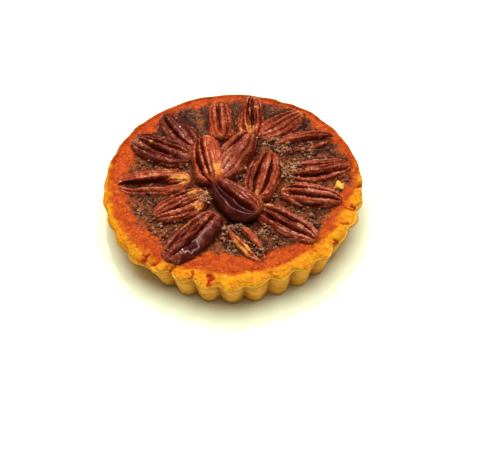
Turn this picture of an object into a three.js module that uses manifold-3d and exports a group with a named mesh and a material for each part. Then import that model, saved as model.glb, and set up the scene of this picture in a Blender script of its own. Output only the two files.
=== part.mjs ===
// A small pecan pie: a fluted shortcrust case, its baked filling, and seventeen pecan halves set in
// the filling like the spokes of a wheel, with four more or less upright ones in the middle.
// Millimetres, +Z up. The pie stands on z = 0 and its middle is over the origin. +Y is the back.
import * as THREE from "three";
import { mergeVertices } from "three/addons/utils/BufferGeometryUtils.js";
import Module from "manifold-3d";

const wasm = await Module();
wasm.setup();

const GAP = 0.35; // kept between neighbouring pieces
const MERGE = 1e-4; // vertices closer than this are one

// The case. Angles are in degrees, anticlockwise from +X as seen from above.
const FLUTES = 31;
const FLUTE_MIDDLE = 268.4; // the angle of one flute's middle
const SIDES_PER_FLUTE = 5;
const WALL_FLUTE_ROUNDNESS = 1.1; // the power of the curve that swells between two notches
const EDGE_FLUTE_ROUNDNESS = 1.7;
const BASE_RADIUS = 55.9; // over the flutes
const BASE_FLUTE_DEPTH = 2.9;
const BASE_BEVEL = 0.6;
const EDGE_RADIUS = 60.9; // over the flutes, at the thin edge on top of the wall
const EDGE_FLUTE_DEPTH_FRONT = 2.7;
const EDGE_FLUTE_DEPTH_BACK = 0.3; // where the rim slumped over its flutes
const EDGE_HEIGHT = 15.5;
const LIP_HEIGHT = 1.4; // of the thin lip that stands out over the wall
const LIP_OUT = 0.9;
const CROWN_HEIGHT = 17.7; // the highest line of the rounded rim
const SEAM_HEIGHT = 16.9; // where the rim meets the filling
const SEAM_RADIUS_BACK = 57.4;
const SEAM_RADIUS_FRONT = 51.8;
const SEAM_DIP = { at: 273, spread: 20, out: -1.6 }; // where the rim is widest
const FRONT_FROM = [180, 246]; // over these angles the rim widens from its back to its front size
const FRONT_TO = [342, 364]; // and over these it narrows again
const FLOOR_THICKNESS = 4;
const FLOOR_RADIUS = 49.6; // inside the case, where its wall meets its floor

// Where the wall spread or slumped as it baked: how far out, at which angle, over what spread.
const SLUMPS = [
  { at: 140, spread: 16, out: 0.4 },
  { at: 90, spread: 24, out: -0.6 },
  { at: 56, spread: 12, out: -0.6 },
  { at: 243, spread: 13, out: -1.3 },
  { at: 293, spread: 14, out: -2.1 },
  { at: 330, spread: 12, out: -1.4 },
];

// Where the rim hangs over the wall: at which angle, over what spread, how far out and down it hangs,
// how far the foot is tucked in there and how much of the edge's fluting is smoothed away.
const DROOPS = [
  { at: 221, spread: 13, out: 1.5, down: 2.0, tuck: 2.4, smoothed: 0.35 },
  { at: 337, spread: 15, out: 0.3, down: 1.0, tuck: 1.8, smoothed: 0.75 },
];

// Cracks across the rim: how deep, at which angle, over what half width.
const CRACKS = [
  { at: 225.5, half: 2.8, deep: 1.9 },
  { at: 231, half: 2.0, deep: 1.1 },
  { at: 240, half: 2.0, deep: 1.0 },
  { at: 250, half: 1.6, deep: 0.9 },
  { at: 258.5, half: 1.6, deep: 1.3 },
  { at: 311, half: 1.6, deep: 0.8 },
  { at: 322, half: 2.0, deep: 1.1 },
  { at: 334.5, half: 1.8, deep: 1.2 },
  { at: 344, half: 2.0, deep: 1.3 },
  { at: 358, half: 2.2, deep: 1.8 },
];

// The filling.
const FILLING_SECTORS = 2 * FLUTES;
const SEAM_GAP = 0.85; // wider than between other pieces, because it has fewer sides than the case
const FILLING_RINGS = 9;
const FILLING_HEIGHT = 16.2; // in the middle, between the nuts
const BUBBLES = 120; // low swellings of the baked top
const BUBBLE_RADIUS = [2.5, 6];
const BUBBLE_HEIGHT = [0.15, 0.55];

const USUAL_TAPER = 0.08; // by this share a nut's far end is narrower, and its near end wider

// The pecan halves lie round side up. Each has the angle and distance of its middle, the heading of
// its long axis, its length, width and height, the height of its flat face, how far its far end and
// its left side lean up, its bend, how blunt its ends are, the places of its long grooves (-1 on the
// right, 0 in the middle and 1 on the left) and, where it isn't the usual one, its taper.
const NUTS = [
  // The ring.
  [11.5, 41.6, 6, [30, 14.5, 8.2], 12.8, [3, 8], -0.5, 2.6, [-1, 1]],
  [37.5, 43.2, 11, [31, 15, 8.0], 12.0, [3, 3], 0.5, 2.3, [0]],
  [58, 43.8, 32, [27.5, 16.5, 8.0], 12.6, [3, -8], 0.3, 2.9, [-1, 1]],
  [77, 43.6, 88, [26, 13.5, 9.0], 13.2, [5, 0], 0.2, 4.2, [0]],
  [97.6, 41.4, 93, [26, 13.5, 8.4], 12.8, [0, 2], 0, 4.6, [-1, 1]],
  [125.3, 43.3, 124, [28, 15, 8.2], 12.6, [0, -6], 0.3, 3.4, [-1]],
  [145, 41.0, 154, [32, 17, 9.2], 12.8, [0, -3], 0.6, 3.2, [-1, 1]],
  [175, 37.0, 183, [35, 16, 8.4], 12.6, [0, -8], -0.3, 3.0, [1]],
  [207, 27.0, 208, [28, 17, 9.0], 12.8, [-1, 4], 0.3, 2.7, [-1, 1]],
  [239, 36.4, 229, [35, 17.5, 9.8], 12.8, [-1, 4], 0.7, 2.9, [-1, 1], -0.06],
  [279, 36.0, 305, [25, 13.5, 7.0], 12.9, [-2, 0], 0.2, 2.4, [0]],
  [313.4, 34.6, 323, [33, 16, 8.6], 12.8, [-1, -6], 0.5, 3.0, [-1, 1]],
  [346.2, 36.9, 347, [29, 15, 9.2], 12.8, [0, -2], 0.8, 2.6, [-1, 1]],
  // The four in the middle, of which the last lies on top.
  [128, 18.5, 98, [31, 16.5, 9.2], 13.6, [-1, 4], 0, 4.0, [1]],
  [86, 17.3, 61, [33, 16.5, 9.2], 13.8, [0, -3], 0.4, 2.8, [1]],
  [18, 14.6, 75, [31, 17, 9.0], 13.6, [0, 3], -0.3, 2.8, [-1, 1]],
  [273.3, 12.3, 137, [28, 16, 9.6], 17.0, [1, 14], 0.3, 2.7, [1], 0.26],
].map(([at, out, heading, size, bed, lean, bend, blunt, grooves, taper = USUAL_TAPER]) => {
  return { at, out, heading, size, bed, lean, bend, blunt, grooves, taper };
});
const NUT_SIDES = 16;
const NUT_RINGS = 10;
const NUT_OUTLINE = 0.455; // the power that fills out the oval outline
const NUT_ARCH = 0.5; // the same for the line of its back
const ARCH_BLUNTER = 0.8; // how much blunter that line is than the outline
const NUT_SQUARENESS = 2.5; // the power of its section: 2 is round, more is boxier
const NUT_BELLY = 0.16; // how far the flat side swells, as a share of the height
const GROOVE_DEPTH = 0.34; // as a share of the height
const GROOVE_PLACE = 0.38; // of a groove on one side, as a share of the half width
const GROOVE_HALF_WIDTH = 0.17; // as a share of the half width
const NUT_TIP_RISE = 0.3; // how far the tips curl up, as a share of the height
const POCKET_SIDES = 12;
const POCKET_RINGS = 8;
const POCKET_SLACK = 0.5; // for the coarser sides of the pockets

const PASTRY = { color: 0xd8932f, roughness: 0.75, metalness: 0 };
const BAKED_FILLING = { color: 0x8a4a22, roughness: 0.6, metalness: 0 };
const PECAN = { color: 0x6e2c1c, roughness: 0.4, metalness: 0 };

const radians = THREE.MathUtils.degToRad;
const between = THREE.MathUtils.lerp;

// A repeatable stream of numbers from 0 to 1.
function randomFrom(seed) {
  let state = seed;
  return () => {
    state = (state * 1664525 + 1013904223) % 4294967296;
    return state / 4294967296;
  };
}

// Smooth unevenness round the pie: whole waves of the counts from lowest to highest.
function waver(seed, lowest, highest, size) {
  const random = randomFrom(seed);
  const waves = [];
  for (let count = lowest; count <= highest; count++) waves.push({ count, phase: 2 * Math.PI * random() });
  const share = size / Math.sqrt(waves.length);
  return (turn) => waves.reduce((sum, { count, phase }) => sum + share * Math.cos(count * turn + phase), 0);
}

// Degrees from one angle to another the short way round.
function degreesApart(turn, at) {
  return THREE.MathUtils.euclideanModulo(THREE.MathUtils.radToDeg(turn) - at + 180, 360) - 180;
}

// How far one smooth bulge or hollow moves the rim at an angle.
function bulge(turn, { at, spread, out }) {
  return out * Math.exp(-((degreesApart(turn, at) / spread) ** 2));
}

function slumpAt(turn) {
  return SLUMPS.reduce((sum, slump) => sum + bulge(turn, slump), 0);
}

// How strongly one of the drooping rim's sizes tells at an angle.
function droopAt(turn, size) {
  return DROOPS.reduce((sum, { at, spread, [size]: out }) => sum + bulge(turn, { at, spread, out }), 0);
}

function crackAt(turn) {
  return CRACKS.reduce((sum, { at, half, deep }) => {
    return sum + deep * Math.exp(-((degreesApart(turn, at) / half) ** 2));
  }, 0);
}

// 1 over the wide front of the rim and 0 over its narrow back.
function frontShare(turn) {
  const angle = THREE.MathUtils.euclideanModulo(THREE.MathUtils.radToDeg(turn) - 90, 360) + 90;
  const { smoothstep } = THREE.MathUtils;
  return smoothstep(angle, ...FRONT_FROM) * (1 - smoothstep(angle, ...FRONT_TO));
}

// 1 in the middle of a flute and 0 in the notch between two.
function fluteSwell(turn, roundness) {
  const place = (degreesApart(turn, FLUTE_MIDDLE) * FLUTES) / 360 + 0.5;
  return Math.abs(Math.sin(Math.PI * place)) ** roundness;
}

const seamWaver = waver(11, 4, 14, 0.7);
const edgeWaver = waver(23, 7, 40, 0.35);
const crownWaver = waver(37, 9, 44, 0.5);
const crownPlace = waver(53, 6, 30, 0.35);

// The radius of the line where the rim meets the filling.
function seamRadius(turn) {
  const radius = between(SEAM_RADIUS_BACK, SEAM_RADIUS_FRONT, frontShare(turn));
  return radius + bulge(turn, SEAM_DIP) + seamWaver(turn);
}

// A closed body round the Z axis whose profile, a list of (radius, height), changes with the angle.
function turnedBody(profileAt, sectors, startAngle) {
  const body = new THREE.LatheGeometry(profileAt(startAngle), sectors);
  const corners = profileAt(startAngle).length;
  const position = body.getAttribute("position");
  for (let i = 0; i < position.count; i++) {
    const turn = startAngle + (2 * Math.PI * Math.floor(i / corners)) / sectors;
    const { x: radius, y: height } = profileAt(turn)[i % corners];
    position.setXYZ(i, radius * Math.cos(turn), radius * Math.sin(turn), height);
  }
  return body;
}

function caseProfile(turn) {
  const slump = slumpAt(turn);
  const crack = crackAt(turn);
  const front = frontShare(turn);
  const hang = slump + droopAt(turn, "out");
  const tuck = droopAt(turn, "tuck");
  const fluted = 1 - droopAt(turn, "smoothed");
  const wallFlute = BASE_FLUTE_DEPTH * (1 - fluteSwell(turn, WALL_FLUTE_ROUNDNESS));
  const edgeFluteDepth = between(EDGE_FLUTE_DEPTH_BACK, EDGE_FLUTE_DEPTH_FRONT, front);
  const edgeFlute = fluted * edgeFluteDepth * (1 - fluteSwell(turn, EDGE_FLUTE_ROUNDNESS));
  const base = BASE_RADIUS - wallFlute + 0.25 * slump - tuck;
  const edge = EDGE_RADIUS - edgeFlute + hang + between(0.4, 1, front) * edgeWaver(turn) - 0.3 * crack;
  const underEdge = EDGE_RADIUS - LIP_OUT - between(0.4, 1, fluted) * wallFlute + hang - 0.3 * tuck;
  const edgeHeight = EDGE_HEIGHT + 0.3 * crownWaver(turn) - droopAt(turn, "down");
  const seam = seamRadius(turn);
  const crown = between(seam, edge, 0.42) + crownPlace(turn);
  const crownHeight = CROWN_HEIGHT + between(0.5, 1, front) * crownWaver(turn) - 0.5 * crack;
  return [
    new THREE.Vector2(0, 0),
    new THREE.Vector2(base - BASE_BEVEL, 0),
    new THREE.Vector2(base, BASE_BEVEL),
    new THREE.Vector2(underEdge, edgeHeight - LIP_HEIGHT),
    new THREE.Vector2(edge, edgeHeight),
    new THREE.Vector2(between(edge, crown, 0.4), between(edgeHeight, crownHeight, 0.66)),
    new THREE.Vector2(crown, crownHeight),
    new THREE.Vector2(seam, SEAM_HEIGHT),
    new THREE.Vector2(FLOOR_RADIUS, FLOOR_THICKNESS),
    new THREE.Vector2(0, FLOOR_THICKNESS),
  ];
}

// Low round swellings scattered over the filling.
const bubbles = (() => {
  const random = randomFrom(7);
  return Array.from({ length: BUBBLES }, () => {
    const out = SEAM_RADIUS_BACK * Math.sqrt(random());
    const turn = 2 * Math.PI * random();
    return {
      middle: new THREE.Vector2(out * Math.cos(turn), out * Math.sin(turn)),
      radius: between(...BUBBLE_RADIUS, random()),
      height: between(...BUBBLE_HEIGHT, random()),
    };
  });
})();

function fillingTop(radius, turn) {
  const place = new THREE.Vector2(radius * Math.cos(turn), radius * Math.sin(turn));
  const seam = seamRadius(turn);
  const rise = (SEAM_HEIGHT - FILLING_HEIGHT) * (radius / seam) ** 3;
  const swelling = bubbles.reduce((sum, { middle, radius: reach, height }) => {
    return sum + height * Math.exp(-((place.distanceTo(middle) / reach) ** 2));
  }, 0);
  const fade = Math.min(1, (seam - radius) / 6); // level again where it meets the rim
  return FILLING_HEIGHT + rise + 0.6 * fade * swelling;
}

function fillingProfile(turn) {
  const seam = seamRadius(turn) - SEAM_GAP;
  const floor = FLOOR_THICKNESS + GAP;
  const profile = [
    new THREE.Vector2(0, floor),
    new THREE.Vector2(FLOOR_RADIUS - SEAM_GAP, floor),
  ];
  for (let ring = 0; ring < FILLING_RINGS; ring++) {
    const radius = seam * (1 - ring / FILLING_RINGS);
    profile.push(new THREE.Vector2(radius, fillingTop(radius, turn)));
  }
  profile.push(new THREE.Vector2(0, fillingTop(0, 0)));
  return profile;
}

// How deep the long grooves cut at a place across the nut, from -1 at one side to 1 at the other.
function grooveAt(across, grooves) {
  return grooves.reduce((sum, side) => {
    return sum + Math.exp(-(((across - side * GROOVE_PLACE) / GROOVE_HALF_WIDTH) ** 2));
  }, 0);
}

// How far the section's edge lies out, in the direction of one across and up.
function fullness(across, up) {
  return (Math.abs(across) ** NUT_SQUARENESS + Math.abs(up) ** NUT_SQUARENESS) ** (-1 / NUT_SQUARENESS);
}

// A pecan half along the X axis, its flat side on z = 0. With a clearance it is the plain body that
// many millimetres larger all round, which makes room for the nut in its neighbours.
function pecanHalf({ size: [length, width, height], bend, blunt, grooves, taper }, clearance = 0) {
  const sides = clearance ? [POCKET_SIDES, POCKET_RINGS] : [NUT_SIDES, NUT_RINGS];
  const half = new THREE.SphereGeometry(1, ...sides).rotateZ(-Math.PI / 2);
  const position = half.getAttribute("position");
  const halfLength = length / 2 + clearance;
  const halfWidth = width / 2 + clearance;
  const rise = height + clearance;
  const belly = NUT_BELLY * height + clearance;
  const depth = clearance ? 0 : GROOVE_DEPTH;
  for (let i = 0; i < position.count; i++) {
    const along = position.getX(i);
    const girth = Math.hypot(position.getY(i), position.getZ(i));
    const across = girth > MERGE ? position.getY(i) / girth : 0;
    const up = girth > MERGE ? position.getZ(i) / girth : 0;
    const full = girth > MERGE ? fullness(across, up) : 0;
    const widest = full * Math.max(0, 1 - Math.abs(along) ** blunt) ** NUT_OUTLINE;
    const tallest = full * Math.max(0, 1 - Math.abs(along) ** (blunt + ARCH_BLUNTER)) ** NUT_ARCH;
    const groove = up > 0 ? depth * grooveAt(across, grooves) : 0;
    position.setXYZ(
      i,
      halfLength * along,
      halfWidth * widest * across * (1 - taper * along) + bend * (1 - along * along),
      tallest * (up > 0 ? rise * up * (1 - groove) : belly * up) + NUT_TIP_RISE * height * along ** 4,
    );
  }
  return half;
}

function solidOf(geometry) {
  const bare = geometry.clone();
  bare.deleteAttribute("normal");
  bare.deleteAttribute("uv");
  const merged = mergeVertices(bare, MERGE);
  const triVerts = new Uint32Array(merged.index.array);
  const vertProperties = merged.getAttribute("position").array;
  return new wasm.Manifold(new wasm.Mesh({ numProp: 3, vertProperties, triVerts }));
}

// The solid without the slivers that its cuts left loose.
function withoutSlivers(solid) {
  return solid.decompose().reduce((largest, body) => (body.volume() > largest.volume() ? body : largest));
}

function geometryOf(solid) {
  const { vertProperties, triVerts } = solid.getMesh();
  const geometry = new THREE.BufferGeometry();
  geometry.setAttribute("position", new THREE.BufferAttribute(vertProperties, 3));
  geometry.setIndex(new THREE.BufferAttribute(triVerts, 1));
  geometry.computeVertexNormals();
  return geometry;
}

function piece(name, geometry, look) {
  const mesh = new THREE.Mesh(geometry, new THREE.MeshStandardMaterial(look));
  mesh.name = name;
  return mesh;
}

function placedNut(nut, number) {
  const mesh = piece(`pecan_${String(number).padStart(2, "0")}`, pecanHalf(nut), PECAN);
  mesh.position.set(nut.out * Math.cos(radians(nut.at)), nut.out * Math.sin(radians(nut.at)), nut.bed);
  const [farEndUp, leftSideUp] = nut.lean;
  mesh.rotation.set(radians(leftSideUp), -radians(farEndUp), radians(nut.heading), "ZYX");
  mesh.updateMatrix();
  return mesh;
}

// The room a placed nut takes, with the gap round it, in the frame that the second matrix places.
function roomFor(nut, mesh, frame = new THREE.Matrix4()) {
  const room = pecanHalf(nut, GAP + POCKET_SLACK).applyMatrix4(mesh.matrix);
  return solidOf(room.applyMatrix4(frame.clone().invert()));
}

// Cuts each nut back where one that was laid later lies on it or against it.
function fitNuts(meshes) {
  meshes.forEach((mesh, i) => {
    let solid = solidOf(mesh.geometry);
    for (let later = i + 1; later < meshes.length; later++) {
      solid = solid.subtract(roomFor(NUTS[later], meshes[later], mesh.matrix));
    }
    mesh.geometry = geometryOf(withoutSlivers(solid));
  });
}

const nutMeshes = NUTS.map((nut, i) => placedNut(nut, i + 1));
fitNuts(nutMeshes);

// Takes the nuts' pockets out of a solid that they are set in.
function withPockets(solid) {
  return withoutSlivers(NUTS.reduce((rest, nut, i) => rest.subtract(roomFor(nut, nutMeshes[i])), solid));
}

const notch = radians(FLUTE_MIDDLE + 180 / FLUTES); // the sides start in a notch, to keep it sharp
const caseBody = turnedBody(caseProfile, FLUTES * SIDES_PER_FLUTE, notch);
const fillingBody = turnedBody(fillingProfile, FILLING_SECTORS, notch);

const pie = new THREE.Group();
pie.add(piece("crust", geometryOf(withPockets(solidOf(caseBody))), PASTRY));
pie.add(piece("filling", geometryOf(withPockets(solidOf(fillingBody))), BAKED_FILLING));
pie.add(...nutMeshes);

export default pie;
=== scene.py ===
import math
from dataclasses import dataclass
from itertools import product

import bmesh
import bpy
import numpy as np
from mathutils import Matrix, Vector


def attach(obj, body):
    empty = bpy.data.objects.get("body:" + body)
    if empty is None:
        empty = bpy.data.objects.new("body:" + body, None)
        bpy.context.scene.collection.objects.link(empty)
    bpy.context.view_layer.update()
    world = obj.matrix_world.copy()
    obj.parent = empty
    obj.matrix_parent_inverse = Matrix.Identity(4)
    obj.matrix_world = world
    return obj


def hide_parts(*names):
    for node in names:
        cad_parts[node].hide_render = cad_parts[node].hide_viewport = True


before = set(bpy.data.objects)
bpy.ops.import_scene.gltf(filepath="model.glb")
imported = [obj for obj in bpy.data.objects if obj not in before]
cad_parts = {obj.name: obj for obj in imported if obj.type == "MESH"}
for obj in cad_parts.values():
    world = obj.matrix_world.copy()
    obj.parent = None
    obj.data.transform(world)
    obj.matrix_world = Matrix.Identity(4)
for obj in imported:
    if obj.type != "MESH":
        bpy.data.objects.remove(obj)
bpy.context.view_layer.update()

MM = 0.001

# Camera, stage and light.
CAMERA_ELEVATION = 50.69
CAMERA_DISTANCE = 600
CAMERA_ROLL = -1.49
CAMERA_TARGET = (2.66, -11.71, 0)
CAMERA_LENS = 95.71
SENSOR_WIDTH = 36
CAMERA_SEES = (10, 20000)  # from how near to how far
FLOOR_SIZE = 4000
FLOOR_COLOUR = (0.93, 0.99, 0.70, 1)
LAMP_FROM = (0.02, 0.28, 1.0)  # the direction of the large soft lamp
LAMP_SPREAD = 60
LAMP_STRENGTH = 3.8
SPARKLE_AT = (-60, 360, 620)  # a small lamp that wakes the glaze
SPARKLE_SIZE = 70
SPARKLE_POWER = 1.7
SKY_STRENGTH = 0.1

# The case.
FLUTES = 31
FLUTE_MIDDLE = 268.4  # the angle of one flute's middle
WALL_FLUTE_ROUNDNESS = 1.1  # the power of the curve that swells between two notches
EDGE_FLUTE_ROUNDNESS = 1.7
BASE_RADIUS = 55.9  # over the flutes
BASE_FLUTE_DEPTH = 2.9
FOOT_ROUNDING = [(1.4, 0), (0.5, 0.1), (0, 0.8)]  # how far in from the foot's edge and how high
EDGE_RADIUS = 60.9  # over the flutes, at the thin edge on top of the wall
EDGE_FLUTE_DEPTH_FRONT = 2.7
EDGE_FLUTE_DEPTH_BACK = 0.3  # where the rim slumped over its flutes
EDGE_HEIGHT = 15.5
LIP_HEIGHT = 1.4  # of the thin lip that stands out over the wall
LIP_OUT = 0.9
CROWN_HEIGHT = 17.7  # the highest line of the rounded rim
SEAM_HEIGHT = 16.9  # where the rim meets the filling
SEAM_RADIUS_BACK = 57.4
SEAM_RADIUS_FRONT = 51.8
SEAM_DIP = (273, 20, -1.6)  # where the rim is widest: at, spread, out
FRONT_FROM = (180, 246)  # over these angles the rim widens from its back to its front size
FRONT_TO = (342, 364)  # and over these it narrows again
UNDER_SEAM = [(1.5, 15.9), (3.0, 13.5)]  # the case's inside: how far in from the seam, how high
FLOOR_THICKNESS = 4
FLOOR_RADIUS = 49.6  # inside the case, where its wall meets its floor
AXIS_RING = 0.5  # the radius of the smallest rings, which close over the axis
SLUMPS = [  # where the wall spread or slumped as it baked: at, spread, out
    (140, 16, 0.4), (90, 24, -0.6), (56, 12, -0.6), (243, 13, -1.3), (293, 14, -2.1),
    (330, 12, -1.4),
]
# Where the rim hangs out and down over the wall: at, spread, how far out, how far down, how far the
# foot is tucked in there and how much of the edge's fluting is smoothed away.
DROOPS = [(221, 13, 1.5, 2.0, 2.4, 0.35), (337, 15, 0.3, 1.0, 1.8, 0.75)]
CRACKS = [  # at, half width, depth, where it runs from and to, how wide it gapes
    (225.5, 2.8, 1.9, 55, 61, 1.25), (231, 2.0, 1.1, 53.5, 58.5, 0.8), (240, 2.0, 1.0, 53, 61, 0.6),
    (250, 1.6, 0.9, 52, 57, 0.6), (258.5, 1.6, 1.3, 52.5, 59, 0.8), (311, 1.6, 0.8, 51, 55, 0.6),
    (322, 2.0, 1.1, 56, 61, 0.6), (334.5, 1.8, 1.2, 53.5, 57.5, 0.6), (344, 2.0, 1.3, 53, 58, 0.6),
    (358, 2.2, 1.8, 56, 62, 0.8),
]
CRACK_WANDER = [(1.5, 2.2), (0.7, 0.9)]  # how far aside a crack strays, and over what size
CASE_SECTORS = 36 * FLUTES

# The heights and radii over which each part of the case's surface begins.
RIM_HEIGHTS, RIM_RADII = (13.5, 15.5), (48, 51)
WALL_HEIGHTS, WALL_RADII = (0.2, 1.2), (50, 52)
CRACKED_HEIGHTS = (15.0, 16.2)
TOASTED_HEIGHTS = (14.0, 15.6)
BARE_WALL_HEIGHTS = (13.6, 15.2)  # the same for where the pale wall ends
TOAST_FADE = (-2.4, 2.2)  # how far inside and outside its edge the toasting fades out
LIP_BAND = (0.1, 0.35, 54)  # painted highlight: how far above the edge, how wide, from what radius

# Unevenness in layers: how high, with swellings how large, and which pattern.
RIM_PEBBLES = [(0.32, 2.3, 3), (0.20, 1.1, 4), (0.10, 0.6, 5)]
WALL_GRAIN = [(0.10, 2.8, 6), (0.06, 0.9, 7)]
TOAST_FRAY = [(1.4, 4.5, 8), (1.3, 1.6, 9)]
BROWN_FRAY = [(1.3, 4.5, 21), (1.6, 1.7, 22), (0.9, 0.8, 29)]
SKIN_SWELLS = [(0.10, 2.0, 27), (0.05, 0.8, 28)]
CROSS_WRINKLES, NUT_BEADS, NUT_SWELLS = [(0.2, 0.75, 63)], [(0.2, 0.6, 65)], [(0.28, 4, 64)]

# The filling.
SEAM_OVERLAP = 0.9  # how far the filling's skin runs on under the rim's inner edge
SKIN_LIFT = 0.25  # how far it stands over the plain filling
SKIN_TUCK = 0.7  # how far it turns down under that edge
FILLING_HEIGHT = 16.2  # in the middle, between the nuts
FILLING_SIDE = [(0, 16.0), (3.2, 13.2)]  # under the skin: how far in from its edge, how high
FILLING_GAP = (0.4, 0.3)  # left between its foot and the case, outward and down
BUBBLES = 120  # low swellings of the baked top
BUBBLE_RADIUS = (2.5, 6)
BUBBLE_HEIGHT = (0.15, 0.55)
CLOT_HEIGHT, CLOT_SIZE = 0.45, 2.1
GRAIN_HEIGHT, GRAIN_SIZE = 0.35, 1.1
PIT_DEPTH, PIT_SIZE = 0.6, 1.5
HUMP_HEIGHT, HUMP_SIZE = 0.35, 3.4
BROWN_SINK = 0.8  # how much lower the brown middle lies than the skin
CLIMB, CLIMB_REACH = 0.7, 1.1  # how high the filling climbs against a nut, and how far from it
FILLING_SECTORS = 720
FILLING_RINGS = 128
BROWN_EDGE = [  # angle and radius where the nut-brown middle gives way to the orange skin
    (0, 53.5), (9, 56), (30, 55.5), (40, 53), (51, 56.2), (71, 55.5), (85, 56.5), (103, 53.4),
    (122, 56), (136, 51.8), (146, 53.5), (153, 52.9), (164, 49.8), (176, 51), (188, 49.8),
    (208, 48.1), (222, 47), (231, 48.5), (246, 46), (254, 40.5), (264, 40.8), (275, 43),
    (283, 46), (290, 43.8), (298, 42.5), (306, 45), (315, 49), (321, 50), (328, 47), (338, 48),
    (346, 50.5), (352, 49),
]
GOLD_EDGE = [  # angle and radius where the golden rim gives way to the orange skin
    (0, 58.5), (8, 59.5), (20, 61.5), (60, 64), (120, 64), (160, 61), (170, 59.4), (180, 58.4),
    (195, 57.6), (205, 57), (215, 56.4), (228, 56), (240, 55.6), (249, 52.8), (262, 52.6),
    (285, 53), (300, 53), (315, 53), (330, 53.6), (342, 53.6), (350, 55),
]

# The pecan halves.
OPEN_END = 1.4  # a furrow that goes on past this runs out through the nut's end


@dataclass
class Furrow:
    """A long furrow in a nut's back: its place across from -1 to 1, its depth and half width as
    shares of the nut's, how far it slants, and the stretch of the nut's length that it runs over,
    where -1 and 1 are its ends."""

    place: float
    depth: float
    half: float
    slant: float = 0
    start: float = -1.2
    end: float = 1.2


@dataclass
class Nut:
    """A pecan half, round side up: its middle, the heading of its long axis, its length, width and
    height, the height of its flat face, how far its far end and its left side lean up, its bend,
    how blunt its ends are, its furrows, its tone from dark 0 to light 1, its rubbed pale patches
    (along, across, reach), its smooth dark glazed patches (the same and how glossy), its burst
    blisters (along, across, reach in millimetres, depth) and how much narrower its far end is."""

    at: float
    out: float
    heading: float
    size: tuple
    bed: float
    lean: tuple
    bend: float
    blunt: float
    furrows: tuple
    tone: float
    pale: tuple = ()
    glazed: tuple = ()
    blisters: tuple = ()
    taper: float = 0.08


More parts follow.
